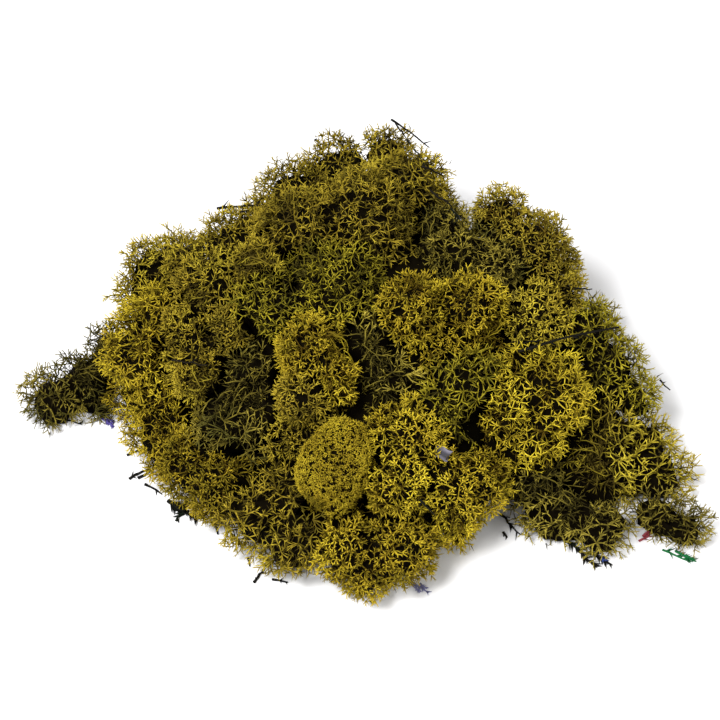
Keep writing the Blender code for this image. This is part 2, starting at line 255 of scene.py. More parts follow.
# Loose dark needles and bits of twig that lie on the heap: where both ends show in the photograph, the
# radius in millimetres, and how many side shoots each has
NEEDLES_ON_HEAP = {
    "crest_top": ((395, 122), (406, 138), 0.47, 0), "crest_upper": ((407, 140), (425, 165), 0.47, 1),
    "crest_middle": ((422, 166), (443, 176), 0.54, 3), "crest_lower": ((430, 190), (452, 207), 0.54, 4),
    "crest_foot": ((445, 200), (460, 220), 0.54, 4), "summit_edge": ((315, 140), (320, 142), 0.54, 0),
    "left_flank": ((172, 360), (207, 365), 0.47, 1), "cap_edge": ((575, 289), (592, 289), 0.47, 0),
    "knobs_right": ((510, 343), (542, 340), 0.47, 1), "right_edge": ((660, 380), (670, 390), 0.47, 1),
    "front_knoll": ((420, 500), (435, 515), 0.47, 1), "upper_left": ((240, 212), (250, 210), 0.47, 2),
}
# The same for those that lie on the floor beside it
NEEDLES_ON_FLOOR = {
    "left_first": ((122, 432), (135, 440), 0.54, 1), "left_fourth": ((145, 485), (162, 495), 0.61, 1),
    "clot": ((168, 502), (197, 522), 1.0, 20), "clot_across": ((188, 503), (176, 522), 0.9, 16),
    "front_first": ((215, 520), (218, 535), 0.61, 1), "front_second": ((238, 540), (243, 550), 0.54, 2),
    "front_third": ((248, 558), (250, 567), 0.54, 1), "front_fourth": ((272, 580), (288, 583), 0.54, 3),
    "front_toe": ((370, 601), (374, 604), 0.68, 1), "notch_long": ((500, 515), (520, 535), 0.54, 6),
    "notch_short": ((503, 533), (507, 538), 0.68, 2), "toe_left": ((565, 542), (589, 556), 0.75, 14),
    "toe_right": ((589, 553), (612, 566), 0.75, 14), "toe_across": ((577, 551), (597, 568), 0.75, 14),
    "tail_tip": ((47, 401), (55, 394), 0.47, 1), "tail_under": ((58, 419), (82, 425), 0.47, 2),
    "left_second": ((127, 456), (142, 450), 0.61, 1), "left_third": ((138, 479), (155, 469), 0.7, 1),
}
# How near the heap a needle or scrap on it lies, and how near the middle of a hollow
NEEDLE_GAP = 2.2
HOLLOW_GAP = 0.7
# Crumbs of dyed moss on the floor: where both ends show, and the colour
DYED_CRUMBS = {
    "purple": ((101, 418), (113, 427), (0.10, 0.08, 0.30)),
    "lilac": ((410, 580), (425, 590), (0.20, 0.20, 0.34)),
    "blue": ((597, 556), (605, 562), (0.04, 0.07, 0.26)),
    "red": ((640, 540), (655, 530), (0.28, 0.05, 0.06)),
    "green": ((665, 550), (694, 562), (0.01, 0.12, 0.035)),
}
# A crumb: how many sticks it has, their points, how far they stray to each side, how low they may lie, how
# much higher each is than the one before, their radius, their side shoots and half the width of its tints
CRUMB = dict(sticks=3, points=5, stray=(0.8, 0.8, 0.0), lowest=0.35, rise=0.4, radius=0.55, shoots=9,
             band=0.06)
# The pale scrap: where it shows, its half width and half height, how thick it is, how it is turned and
# leant, and how many columns and rows of points it has. Its ragged edge is a wave of this height and these
# speeds across and along. Its fold stands this high and falls by this much, and a low wave runs along it.
SCRAP = (443, 453)
SCRAP_SIZE = (3.0, 2.2)
SCRAP_TURN = math.radians(-35.0)
SCRAP_LEAN = math.radians(40.0)
SCRAP_THICK = 0.3
SCRAP_GRID = (7, 5)
SCRAP_RAGGED = (0.12, 5.0, 2.0)
SCRAP_FOLD = (1.6, 1.5)
SCRAP_WAVE = (0.3, 3.0)

# Each tuft's habit and its tint, from 0, shaded and green, to 1, sunny and golden
TUFTS = {
    "summit": ("star", 0.27),
    "summit_peak": ("lacy", 0.34),
    "back_right_cap": ("fine", 0.3),
    "left_fringe": ("lacy", 0.5),
    "upper_left": ("forked", 0.42),
    "left_bright": ("forked", 0.47),
    "left_tail": ("lacy", 0.2),
    "left_flank": ("forked", 0.38),
    "mid_left": ("fine", 0.3),
    "centre_left": ("open", 0.25),
    "centre_top": ("star", 0.3),
    "bright_knot": ("fine", 0.36),
    "pale_knot": ("fine", 0.27),
    "lower_left": ("fine", 0.1),
    "front_left": ("open", 0.3),
    "round_head": ("velvet", 0.36),
    "front_knoll": ("fine", 0.5),
    "front_toe": ("fine", 0.29),
    "front_right": ("fine", 0.52),
    "centre_knobs": ("fine", 0.36),
    "right_shoulder": ("forked", 0.31),
    "right_mid": ("fine", 0.55),
    "bright_cushion": ("star", 0.68),
    "open_branches": ("open", 0.43),
    "right_ridge": ("lacy", 0.5),
    "right_flank": ("open", 0.7),
    "right_toe": ("open", 0.5),
    "right_tail": ("lacy", 0.3),
    "centre_dip": ("open", 0.58),
    "back_slope_left": ("hidden", 0.45),
    "back_slope_right": ("hidden", 0.45),
    "back_left_foot": ("hidden", 0.45),
    "back_foot_left": ("hidden", 0.4),
    "back_foot": ("hidden", 0.45),
    "back_middle_foot": ("hidden", 0.4),
    "back_right_foot": ("hidden", 0.45),
    "right_back_foot": ("hidden", 0.4),
}


def unit(vectors):
    """The same vectors, one unit long."""
    return vectors / np.maximum(np.linalg.norm(vectors, axis=-1, keepdims=True), 1e-9)


def wander(places, kind):
    """Smooth noise of a kind: its strength times twice the mean of sine waves of about its length."""
    length, seed, strength = NOISE[kind]
    rng = np.random.default_rng(seed)
    waves = unit(rng.normal(size=(WAVES, 3))) * (TURN / length) * rng.uniform(*WAVE_SPEEDS, (WAVES, 1))
    phases = rng.uniform(0, TURN, WAVES)
    return strength * 2.0 * np.sin(places @ waves.T + phases).mean(axis=-1)


def square_to(axis, kind):
    """Two directions square to an axis and to each other."""
    side = unit(np.cross(axis, ASKEW[kind]))
    return side, np.cross(axis, side)


def lifted(points, kind):
    """The same points, none closer to the floor than this kind of part may be."""
    points[..., 2] = np.maximum(points[..., 2], LOWEST[kind])
    return points


def tinted(mottle, kind, rng):
    """Tints that vary about a tuft's own, as this kind of branch does."""
    return np.clip(mottle + rng.normal(size=len(mottle)) * TINT_SPREAD[kind], *TINT_ENDS)


def solid(name):
    """A CAD solid's welded corners, its triangles as corner numbers, and its rounded corner normals."""
    mesh = frame["nodes"][name].data
    places = np.zeros(len(mesh.vertices) * 3)
    mesh.vertices.foreach_get("co", places)
    mesh.calc_loop_triangles()
    faces = np.zeros(len(mesh.loop_triangles) * 3, dtype=np.int32)
    mesh.loop_triangles.foreach_get("vertices", faces)
    keys = np.round(places.reshape(-1, 3) * METRE, 3)
    corners, same = np.unique(keys, axis=0, return_inverse=True)
    faces = same.reshape(-1)[faces].reshape(-1, 3)
    a, b, c = (corners[faces[:, i]] for i in range(3))
    across = np.cross(b - a, c - a)
    normals = np.zeros_like(corners)
    for i in range(3):
        np.add.at(normals, faces[:, i], across)
    return corners, faces, unit(normals)


def scattered(corners, faces, normals, count, rng):
    """Random places spread evenly over a solid, with their normals.

    A place is a weighted mean of its triangle's corners. It is then pushed out, as in Phong's rule, by
    the same mean of its heights under the three corners' tangent planes, which rounds the facets.
    """
    a, b, c = (corners[faces[:, i]] for i in range(3))
    areas = np.linalg.norm(np.cross(b - a, c - a), axis=1)
    picked = rng.choice(len(faces), size=count, p=areas / areas.sum())
    u, v = rng.random(count), rng.random(count)
    over = u + v > 1.0
    u[over], v[over] = 1.0 - u[over], 1.0 - v[over]
    weights = np.stack([1.0 - u - v, u, v], axis=1)[:, :, None]
    triangle = corners[faces[picked]]
    leaning = normals[faces[picked]]
    flat = (triangle * weights).sum(axis=1)
    rise = ((triangle - flat[:, None]) * leaning).sum(axis=2, keepdims=True) * leaning
    bulge = (rise * weights).sum(axis=1)
    return flat + ROUNDING * bulge, unit((leaning * weights).sum(axis=1))


def thinned(places, spacing, rng):
    """Numbers of places about one spacing apart: one near the middle of each cell of a turned cubic grid."""
    turned = np.linalg.qr(rng.normal(size=(3, 3)))[0]
    cells = places @ turned / spacing + rng.random(3)
    off_middle = np.linalg.norm(cells - np.floor(cells) - 0.5, axis=1)
    rank = np.argsort(off_middle + rng.random(len(places)) * CELL_CHANCE)
    _, first = np.unique(np.floor(cells[rank]).astype(int), axis=0, return_index=True)
    chosen = rank[first]
    return chosen[off_middle[chosen] < CELL_CORE]


def nearest(children, parents):
    """For each child place, the number of the parent place closest to it."""
    squares = (parents ** 2).sum(axis=1)[None, :] - 2.0 * children @ parents.T
    return squares.argmin(axis=1)


def heap_tree():
    """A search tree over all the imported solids, in millimetres."""
    corners, faces, first = [], [], 0
    for name in sorted(frame["nodes"]):
        places, triangles, _ = solid(name)
        corners.append(places)
        faces.append(triangles + first)
        first += len(places)
    return BVHTree.FromPolygons(np.concatenate(corners).tolist(), np.concatenate(faces).tolist())


def line_of_sight(column, row):
    """The camera's place, and the direction in which this point of the photograph lies."""
    across = CAMERA_RIGHT * (column - MIDDLE) + CAMERA_UP * (MIDDLE - row)
    return AIM + BACK * DISTANCE, unit(across / PIXELS_FAR - BACK)


def on_floor(column, row):
    """The place on the floor that shows at this point of the photograph."""
    start, along = line_of_sight(column, row)
    return start - along * start[2] / along[2]


def on_heap(tree, column, row, gap):
    """The first place along the line of sight that is within this gap of the heap, or else the closest."""
    start, along = line_of_sight(column, row)
    far = (start[2] - SIGHT_HEIGHTS) / -along[2]
    line = start + along * far[:, None]
    apart = np.array([tree.find_nearest(Vector(place))[3] for place in line])
    return line[np.argmax(apart < max(gap, apart.min() + SAME_GAP))]


def exposed(tree, places, normals):
    """For each place, the share of a fan of rays that leave the heap, and those rays' mean direction."""
    turns = np.arange(CONE_RAYS) * (TURN / CONE_RAYS)
    fan = np.stack([np.cos(turns) * CONE[0], np.sin(turns) * CONE[0], np.full(CONE_RAYS, CONE[1])], axis=1)
    fan = np.concatenate([fan, [UP]])
    side, other = square_to(normals, "ray")
    rays = fan[None, :, :1] * side[:, None] + fan[None, :, 1:2] * other[:, None]
    rays = rays + fan[None, :, 2:] * normals[:, None]
    starts = np.repeat(places + normals * RAY_START, len(fan), axis=0)
    pairs = zip(starts, rays.reshape(-1, 3))
    free = [tree.ray_cast(Vector(start), Vector(ray), RAY_REACH)[0] is None for start, ray in pairs]
    free = np.array(free, dtype=float).reshape(len(places), len(fan)) * (rays[:, :, 2] > RAY_DOWN)
    sky = (rays * free[:, :, None]).sum(axis=1) + 1e-3 * normals
    return free.mean(axis=1), unit(sky)


class Growth:
    """Branches gathered for one piece: points, triangles, and for each point its age and its tint."""

    def __init__(self):
        self.points, self.faces, self.marks, self.count = [], [], [], 0

    def add(self, points, faces, marks):
        """Add points with their marks, and triangles that number them from nought."""
        self.points.append(points)
        self.faces.append(faces + self.count)
        self.marks.append(marks)
        self.count += len(points)

    def copies(self, points, pattern, marks):
        """Add many parts of one pattern of triangles: a row of points and of marks for each part."""
        count, size = points.shape[:2]
        faces = pattern[None] + (np.arange(count) * size)[:, None, None]
        self.add(points.reshape(-1, 3), faces.reshape(-1, 3), marks.reshape(-1, 2))

    def tubes(self, lines, radii, ages, tints, pointed=False, sides=SIDES):
        """Closed tubes with flat sides along many lines of points at once.

        A pointed tube ends in one point, the others in a cap.
        """
        count, steps = lines.shape[:2]
        if count == 0:
            return
        radii, ages = (np.broadcast_to(rows, (count, steps)) for rows in (radii, ages))
        last = steps - 1 if pointed else steps
        turns = np.arange(sides) * (TURN / sides)
        rings = tube_rings(lines, radii, turns)[:, :last].reshape(count, -1, 3)
        across = np.broadcast_to(tints[:, None, None] + ROUND_TINT * np.cos(turns), (count, last, sides))
        lengthways = np.broadcast_to(ages[:, :last, None], (count, last, sides))
        marks = np.stack([lengthways, across], axis=-1).reshape(count, -1, 2)
        if pointed:
            rings = np.concatenate([rings, lines[:, -1:]], axis=1)
            tip_marks = np.stack([ages[:, -1], tints], axis=-1)[:, None]
            marks = np.concatenate([marks, tip_marks], axis=1)
        self.copies(rings, tube_pattern(last, sides, pointed), marks)


def tube_rings(lines, radii, turns):
    """Rings of points round lines: the line's point plus the radius times cos and sin of even turns.

    Cos goes along one direction square to the line and sin along another.
    """
    along = unit(np.gradient(lines, axis=1))
    chord = unit(lines[:, -1] - lines[:, 0])
    helper = np.where(np.abs(chord[:, 2:]) < STEEP, UP, np.array([1.0, 0.0, 0.0]))
    side = unit(np.cross(along, helper[:, None, :]))
    other = np.cross(along, side)
    spin = (np.arange(len(lines)) * SPIN)[:, None] + turns
    cos, sin = np.cos(spin)[:, None, :, None], np.sin(spin)[:, None, :, None]
    round_line = cos * side[:, :, None] + sin * other[:, :, None]
    return lifted(lines[:, :, None] + radii[:, :, None, None] * round_line, "tube")


def tube_pattern(rings, sides, pointed):
    """Triangles of one tube: two for each side of each stretch, a base cap, and a cap or a point."""
    faces = []
    for ring in range(rings - 1):
        for side in range(sides):
            a, b = ring * sides + side, ring * sides + (side + 1) % sides
            faces += [(a, b, b + sides), (a, b + sides, a + sides)]
    end = (rings - 1) * sides
    faces += [(0, side + 1, side) for side in range(1, sides - 1)]
    if pointed:
        faces += [(end + side, end + (side + 1) % sides, rings * sides) for side in range(sides)]
    else:
        faces += [(end, end + side, end + side + 1) for side in range(1, sides - 1)]
    return np.array(faces)


def bent(starts, ends, leave, arrive, steps, rng, wiggle):
    """Curved lines from starts to ends, by Hermite's cubic, which leave and arrive along given directions."""
    t = np.linspace(0.0, 1.0, steps)[None, :, None]
    length = np.linalg.norm(ends - starts, axis=1)[:, None, None]
    first, second = leave[:, None] * length, arrive[:, None] * length
    lines = (2 * t ** 3 - 3 * t ** 2 + 1) * starts[:, None] + (t ** 3 - 2 * t ** 2 + t) * first
    lines += (3 * t ** 2 - 2 * t ** 3) * ends[:, None] + (t ** 3 - t ** 2) * second
    shake = rng.normal(size=lines.shape) * wiggle * length
    shake[:, 0] = 0.0
    shake[:, -1] = 0.0
    return lines + shake


def grow(name, tree, hollows, rng):
    """One tuft's branches, from the star-shaped ends inwards, as a Growth."""
    habit_name, tint = TUFTS[name]
    habit = HABITS[habit_name]
    form = solid(name)
    places, outward, hollow, crease_shade = branch_ends(form, tree, hollows, habit["star"], rng)
    drop = end_drops(places, hollow, habit, rng)
    mottle = tint + wander(places, "tint") + wander(places, "fleck")
    # depth is each end's painted shade: darker where it has sunk, in hollows and in open creases
    depth = painted_shade(drop, hollow, crease_shade, habit["relief"])

    growth = Growth()
    tiers = fork_tiers(places, outward, drop, habit, rng)
    along = add_stems(growth, tiers, outward, mottle, depth, habit, rng)
    add_roots(growth, tiers[-1], outward, mottle, form[0].mean(axis=0), habit, rng)
    axes = unit(along + habit["facing"] * outward + AXIS_STRAY * rng.normal(size=outward.shape))
    add_stars(growth, tiers[0][0], axes, habit, mottle, depth, rng)
    add_undergrowth(growth, places, outward, drop, hollow, mottle, habit, rng)
    add_runners(growth, places, outward, hollow, habit["tip"], rng)
    add_shade_mat(growth, form, habit["mat"], tree, hollows)
    return growth


def painted_shade(drop, hollow, crease_shade, relief):
    """Painted shade on each end, 0 to 1: how far it has sunk, plus how deep in a hollow or crease it is."""
    sunk = np.clip(drop / (FULLY_SUNK * max(relief, LEAST_RELIEF)), 0.0, 1.0)
    return np.clip(sunk + hollow + crease_shade, 0.0, 1.0)


def branch_ends(form, tree, hollows, spacing, rng):
    """Where a tuft's branches end: places on its solid and their normals, and how sunk and creased each is.

    Random places are thinned to one for each spacing, and few are kept where little of the sky is seen.
    In a crease they move out towards the sky, but only where smooth noise shuts the crease. Where it
    leaves the crease open, they are marked for painted shade.
    """
    corners, faces, normals = form
    a, b, c = (corners[faces[:, i]] for i in range(3))
    area = np.linalg.norm(np.cross(b - a, c - a), axis=1).sum() / 2.0
    places, outward = scattered(corners, faces, normals, int(area / spacing ** 2 * TRIES), rng)
    on_ground = (places[:, 2] < UNDERSIDE[0]) & (outward[:, 2] < UNDERSIDE[1])
    places, outward = places[~on_ground], outward[~on_ground]
    chosen = thinned(places, spacing, rng)
    places, outward = places[chosen], outward[chosen]
    free, sky = exposed(tree, places, outward)
    hollow = sunken(places, hollows)
    chance = np.clip((free - LEAST_SKY) / ALL_SKY, 0.0, 1.0) * (1.0 + HOLLOW_MORE * hollow)
    kept = rng.random(len(places)) < chance
    places, outward, free, sky, hollow = (rows[kept] for rows in (places, outward, free, sky, hollow))
    crease = np.clip(1.0 - free / CREASE_OPEN, 0.0, 1.0)
    shut = np.clip(CREASE_SHUT + wander(places, "creases"), 0.0, 1.0) * (1.0 - hollow)
    filled = places + sky * (CREASE_FILL * crease * shut)[:, None]
    return filled, outward, hollow, crease * (CREASE_DARK - shut)


def end_drops(places, hollow, habit, rng):
    """How far each end sinks from the tuft's form.

    It is the square of its distance from the top of its small head, plus smooth noise at two lengths and
    a random part, less a random part for the few that stand proud, plus the hollow's depth.
    """
    heads = places[thinned(places, habit["bud"], rng)]
    away = np.linalg.norm(places - heads[nearest(places, heads)], axis=1) / (DROP["side"] * habit["bud"])
    drop = habit["relief"] * (np.clip(away, 0.0, DROP["foot"]) ** 2 - DROP["top"])
    drop += habit["relief"] * (wander(places, "dimples") + wander(places, "swell"))
    drop += rng.random(len(places)) ** 2 * DROP["random"] * habit["star"]
    proud = rng.random(len(places)) < habit["stray"]
    drop -= proud * rng.uniform(*DROP["proud"], len(places)) * habit["star"]
    return np.clip(drop, DROP["highest"], None) + HOLLOW_DEPTH * hollow


def sunken(places, hollows):
    """How deep each place is in a hollow, from 0 to 1.

    It is e to minus the fourth power of its distance from the nearest one, in that one's width.
    """
    apart = np.linalg.norm(places[:, None] - hollows[None, :, :3], axis=2) / hollows[None, :, 3]
    return np.exp(-(apart.min(axis=1) / HOLLOW_WIDTH) ** 4)


def fork_tiers(places, outward, drop, habit, rng):
    """Places of the forks, tier under tier, each with the numbers of the ends that it lies under.

    A fork lies under its own end, along the end's normal, by the end's drop and the tier's depth, and
    strays a little.
    """
    tiers = []
    chain = np.arange(len(places))
    for apart, under in TIERS:
        if apart > 1.0:
            chain = chain[thinned(places[chain], apart * habit["star"], rng)]
        down = np.minimum(drop[chain] + under * habit["star"], DEEPEST)
        down = down * rng.uniform(*VARIED, len(chain))
        spots = places[chain] - outward[chain] * down[:, None]
        spots += rng.normal(size=spots.shape) * FORK_STRAY * habit["star"]
        tiers.append((lifted(spots, "fork"), chain))
    return tiers


def add_stems(growth, tiers, outward, mottle, depth, habit, rng):
    """Stems from each fork to the nearest fork of the tier under it. Returns the ends' directions."""
    headings = []
    for tier, (ends, chain), (forks, _) in zip(STEMS, tiers, tiers[1:]):
        starts = forks[nearest(ends, forks)]
        headings.append(unit(ends - starts))
        marks = mottle[chain], SHADE * depth[chain]
        add_stem_tier(growth, tier, starts, ends, outward[chain], marks, habit, rng)
    return headings[0]


def stem_tip(habit):
    """The radius of a stem's tip, which is a little less where the arms are straight."""
    return habit["tip"] * (1.0 if habit["bent"] else STRAIGHT_STEM)


def add_stem_tier(growth, tier, starts, ends, outward, marks, habit, rng):
    """One tier of bent stems with side shoots, which leave inwards and arrive outwards."""
    mottle, shade = marks
    straight, rise = unit(ends - starts), STEM["rise"] * outward
    leave, arrive = unit(straight - rise) * STEM["pull"], unit(straight + rise) * STEM["pull"]
    steps = tier["points"] + habit["bent"]
    lines = lifted(bent(starts, ends, leave, arrive, steps, rng, STEM["stray"]), "stem")
    share = np.linspace(0.0, 1.0, steps)
    (thick, thin), (old, young) = tier["widths"], tier["ages"]
    radii = stem_tip(habit) * (thick + (thin - thick) * share) * rng.uniform(*VARIED, (len(lines), 1))
    ages = np.maximum(old + (young - old) * share - shade[:, None], OLDEST)
    tints = tinted(mottle, "stem", rng)
    growth.tubes(lines, radii, ages, tints)
    shoot_age = np.maximum(young - STEM["shoot_age"] - shade, OLDEST)
    for place in tier["shoots"]:
        add_spikes(growth, lines, radii, place, STEM["shoot"] * habit["star"], shoot_age, tints, rng)


def add_roots(growth, innermost, outward, mottle, middle, habit, rng):
    """Thick dark stems from low in the middle of a tuft up to its innermost forks."""
    forks, chain = innermost
    foot = middle * [1.0, 1.0, 0.0]
    starts = foot + (forks - foot) * ROOT["foot"]
    upright = np.broadcast_to(UP, forks.shape)
    lines = bent(starts, forks, upright, outward[chain], ROOT["points"], rng, ROOT["stray"])
    share = np.linspace(0.0, 1.0, ROOT["points"])
    radii = stem_tip(habit) * (ROOT["width"][0] + ROOT["width"][1] * share)
    ages = ROOT["age"][0] + ROOT["age"][1] * share
    growth.tubes(lifted(lines, "fork"), radii, ages, np.clip(mottle[chain], *TINT_ENDS))


def add_undergrowth(growth, places, outward, drop, hollow, mottle, habit, rng):
    """Short side shoots in the shade between the stems, at random leans, with more of them in hollows."""
    under, spacing = UNDERGROWTH, habit["star"]
    seen = np.repeat(np.arange(len(places)), np.where(hollow > HOLLOW_EDGE, under["in_hollow"], 1))
    count, outward = len(seen), outward[seen]
    depth = drop[seen] + rng.uniform(*under["depth"], count) * spacing * under["step"]
    foot = places[seen] - outward * depth[:, None] + rng.normal(size=(count, 3)) * under["stray"] * spacing
    lean = unit(outward * under["out"] + rng.normal(size=(count, 3)) * under["random"])
    point = foot + lean * (spacing * rng.uniform(*under["length"], count))[:, None]
    tints = tinted(mottle[seen], "undergrowth", rng)
    add_thorns(growth, foot, point, habit["tip"] * under["width"], under["age"], tints)


def add_runners(growth, places, outward, hollow, tip, rng):
    """Long bare stems that curve across the hollows, pale in the shade, with side shoots along them."""
    deep = np.nonzero(hollow > HOLLOW_HEART)[0]
    start = rng.permutation(deep)[:len(deep) // RUNNER["ends"]]
    count, points = len(start), RUNNER["points"]
    if count == 0:
        return
    along = unit(np.cross(outward[start], rng.normal(size=(count, 3))))
    length = rng.uniform(*RUNNER["length"], (count, 1))
    sunk = outward[start] * rng.uniform(*RUNNER["depth"], (count, 1))
    foot = places[start] - sunk - along * length / 2
    end = places[start] - sunk * RUNNER["far_end"] + along * length / 2
    lift = unit(along + outward[start] * RUNNER["rise"])
    lines = lifted(bent(foot, end, lift, unit(2.0 * along - lift), points, rng, RUNNER["stray"]), "fork")
    radii = np.linspace(*RUNNER["widths"], points) * tip
    tints = rng.uniform(*RUNNER["tints"], count)
    growth.tubes(lines, radii, np.linspace(*RUNNER["ages"], points), tints)
    for place in RUNNER["shoots"]:
        add_spikes(growth, lines, radii, place, RUNNER["shoot"], RUNNER["shoot_age"], tints, rng)


def off_axis(axis, turn, tilt):
    """Directions at these turns about the axes and these tilts from them."""
    side, other = square_to(axis, "star")
    flat = side * np.cos(turn)[:, None] + other * np.sin(turn)[:, None]
    return axis * np.cos(tilt)[:, None] + flat * np.sin(tilt)[:, None]


def star_arms(count, habit, rng):
    """For every arm of these stars: its star's number, its turn, its lean, its length and its fork's turn."""
    fewest, most = habit["arms"]
    arms = rng.integers(fewest, most + 1, count)
    star = np.repeat(np.arange(count), arms)
    first = np.repeat(np.cumsum(arms) - arms, arms)
    turn = rng.uniform(0, TURN, count)[star] + (np.arange(len(star)) - first) * (TURN / arms[star])
    turn += rng.normal(size=len(star)) * ARM["shake"]
    lean = math.radians(habit["spread"]) * rng.uniform(*ARM["lean"], len(star))
    length = habit["reach"] * habit["star"] * rng.uniform(*ARM["length"], len(star))
    fork = rng.choice([-1.0, 1.0], len(star)) * rng.uniform(*ARM["fork"], len(star))
    return star, turn, lean, length, fork


def add_stars(growth, hubs, axes, habit, mottle, depth, rng):
    """Star-shaped branch ends: arms at even turns about an axis, each with one side prong.

    An arm leaves the hub at a little under its lean from the axis and bends outwards. Its end and its
    prong turn away from each other about the axis. Arms that lie deeper get painted shade, which darkens
    them.
    """
    star, turn, lean, length, fork = star_arms(len(hubs), habit, rng)
    hub, axis, shade = hubs[star], axes[star], SHADE * depth[star]
    (first, second), (low, high) = ARM["stretches"], ARM["leans"]
    middle = hub + off_axis(axis, turn, lean * low) * (length * first)[:, None]
    end = middle + off_axis(axis, turn + fork, lean * high) * (length * second)[:, None]
    lines = lifted(np.stack([hub, middle, end], axis=1), "arm")
    radius = habit["tip"] * rng.uniform(*VARIED, len(star))
    tints = tinted(mottle[star], "arm", rng)
    if habit["bent"]:
        ages = ARM["ages"] - shade[:, None]
        growth.tubes(lines, radius[:, None] * ARM["widths"], ages, tints, pointed=True)
    else:
        add_thorns(growth, lines[:, 0], lines[:, 2], radius, ARM["straight_age"] - shade, tints)
        lines[:, 1] = (lines[:, 0] + lines[:, 2]) / 2
    reach = length * rng.uniform(*PRONG["length"], len(star))
    away = off_axis(axis, turn - fork * PRONG["turn"], lean * PRONG["lean"])
    foot = lines[:, 1] * (1.0 - PRONG["back"]) + lines[:, 0] * PRONG["back"]
    point = lines[:, 1] + away * reach[:, None]
    add_thorns(growth, foot, point, radius * PRONG["width"], PRONG["age"] - shade, tints)


def add_spikes(growth, lines, radii, place, length, age, tints, rng):
    """One short side shoot on each branch, this share of the way along it, leaning forward."""
    steps = lines.shape[1]
    at = min(int(place * (steps - 1)), steps - 2)
    share = place * (steps - 1) - at
    foot = lines[:, at] * (1.0 - share) + lines[:, at + 1] * share
    along = unit(lines[:, at + 1] - lines[:, at])
    side = unit(np.cross(along, rng.normal(size=along.shape)))
    out = SPIKE["lean"] * side + SPIKE["lean"] * along
    point = foot + out * (length * rng.uniform(*SPIKE["length"], (len(foot), 1)))
    add_thorns(growth, foot, point, radii[..., at] * SPIKE["width"], age, tints)


def add_thorns(growth, foot, point, radius, age, tints):
    """Three-sided spikes from foot to point, as closed tetrahedra whose base is square to them."""
    radius, age, tints = (np.broadcast_to(value, len(foot))[:, None] for value in (radius, age, tints))
    side, other = square_to(unit(point - foot), "thorn")
    turns = np.arange(3) * (TURN / 3)
    ring = side[:, None] * np.cos(turns)[:, None] + other[:, None] * np.sin(turns)[:, None]
    points = np.concatenate([foot[:, None] + ring * radius[:, :, None], point[:, None]], axis=1)
    marks = np.stack([age + THORN_AGES, tints + THORN_TINTS], axis=-1)
    growth.copies(lifted(points, "thorn"), THORN_FACES, marks)


def add_stick(growth, line, radius, shoots, tint, rng):
    """A thin crooked stick along a line, tapering to its end, with side shoots that lean forward."""
    steps = len(line)
    share = np.linspace(0.0, 1.0, steps)
    radii = radius * (1.0 - STICK["taper"] * share) * rng.uniform(*VARIED, steps)
    ages = STICK["age"][0] + STICK["age"][1] * share
    growth.tubes(line[None], radii, ages, np.array([tint]), sides=STICK["sides"])
    if shoots == 0:
        return
    at = rng.uniform(*SHOOT["between"], shoots) * (steps - 1)
    first = np.minimum(at.astype(int), steps - 2)
    foot = line[first] + (line[first + 1] - line[first]) * (at - first)[:, None]
    along = unit(line[-1] - line[0])
    side = unit(np.cross(along, UP + SHOOT["tilt"] * rng.normal(size=(shoots, 3))))
    side *= rng.choice([-1.0, 1.0], (shoots, 1))
    reach = np.clip(SHOOT["share"] * np.linalg.norm(line[-1] - line[0]), *SHOOT["reach"])
    length = reach * rng.uniform(*SHOOT["varied"], (shoots, 1))
    point = lifted(foot + (side + SHOOT["forward"] * along) * length, "arm")
    add_thorns(growth, foot, point, radius * SHOOT["width"], SHOOT["age"], tint)


def crooked(start, end, steps, rng):
    """A line from start to end whose inner points stray a little at random."""
    start, end = np.array(start, dtype=float), np.array(end, dtype=float)
    share = np.linspace(0.0, 1.0, steps)[:, None]
    stray = rng.normal(size=(steps, 3)) * STICK["crook"] * np.linalg.norm(end - start)
    return start + (end - start) * share + stray * np.sin(math.pi * share)


def spine(name):
    """The middle line of a packed twig: its corners in order along its longest way, averaged ring by ring."""
    corners, _, _ = solid(name)
    middle = corners.mean(axis=0)
    along = np.linalg.svd(corners - middle, full_matrices=False)[2][0]
    order = np.argsort((corners - middle) @ along)
    return np.array([corners[ring].mean(axis=0) for ring in np.array_split(order, TWIG["rings"])])


def add_shade_mat(growth, form, depth, tree, hollows):
    """The dark mat of painted shade under the branches: the solid's own form, drawn in by this depth
    where it is exposed.

    It is drawn in less near the floor, more in hollows, and never far enough to reach the other side.
    """
    corners, faces, normals = form
    starts = corners - normals * MAT["inside"]
    inward = [tree.ray_cast(Vector(start), Vector(-n))[3] or 0.0 for start, n in zip(starts, normals)]
    free, _ = exposed(tree, corners, normals)
    draw = depth * (1.0 + wander(corners, "mat")) + HOLLOW_DEPTH * sunken(corners, hollows)
    bare = np.clip((free - MAT["sheltered"]) / MAT["open"], 0.0, 1.0)
    height = np.clip(corners[:, 2] / MAT["high"], 0.0, 1.0)
    draw *= bare * (MAT["low"] + (1.0 - MAT["low"]) * height)
    draw = np.minimum(draw, MAT["most"] * np.array(inward))
    points = corners - normals * draw[:, None]
    points[:, 2] = np.minimum(points[:, 2], corners[:, 2])
    growth.add(lifted(points, "arm"), faces, spread_marks(corners, MAT["age"], MAT["tint"]))


def spread_marks(points, age, tint):
    """Ages and tints that rise evenly across a piece: each a lowest value, and its rise along x or y."""
    share = (points - points.min(axis=0)) / (points.max(axis=0) - points.min(axis=0))
    return np.stack([age[0] + age[1] * share[:, 0], tint[0] + tint[1] * share[:, 1]], axis=1)


def round_about(heights, reach, pick):
    """For each square of a grid, the lowest or the highest of the heights up to this many squares away."""
    rows, columns = heights.shape
    wider = np.pad(heights, reach)
    steps = range(2 * reach + 1)
    return pick([wider[i:i + rows, j:j + columns] for i in steps for j in steps], axis=0)


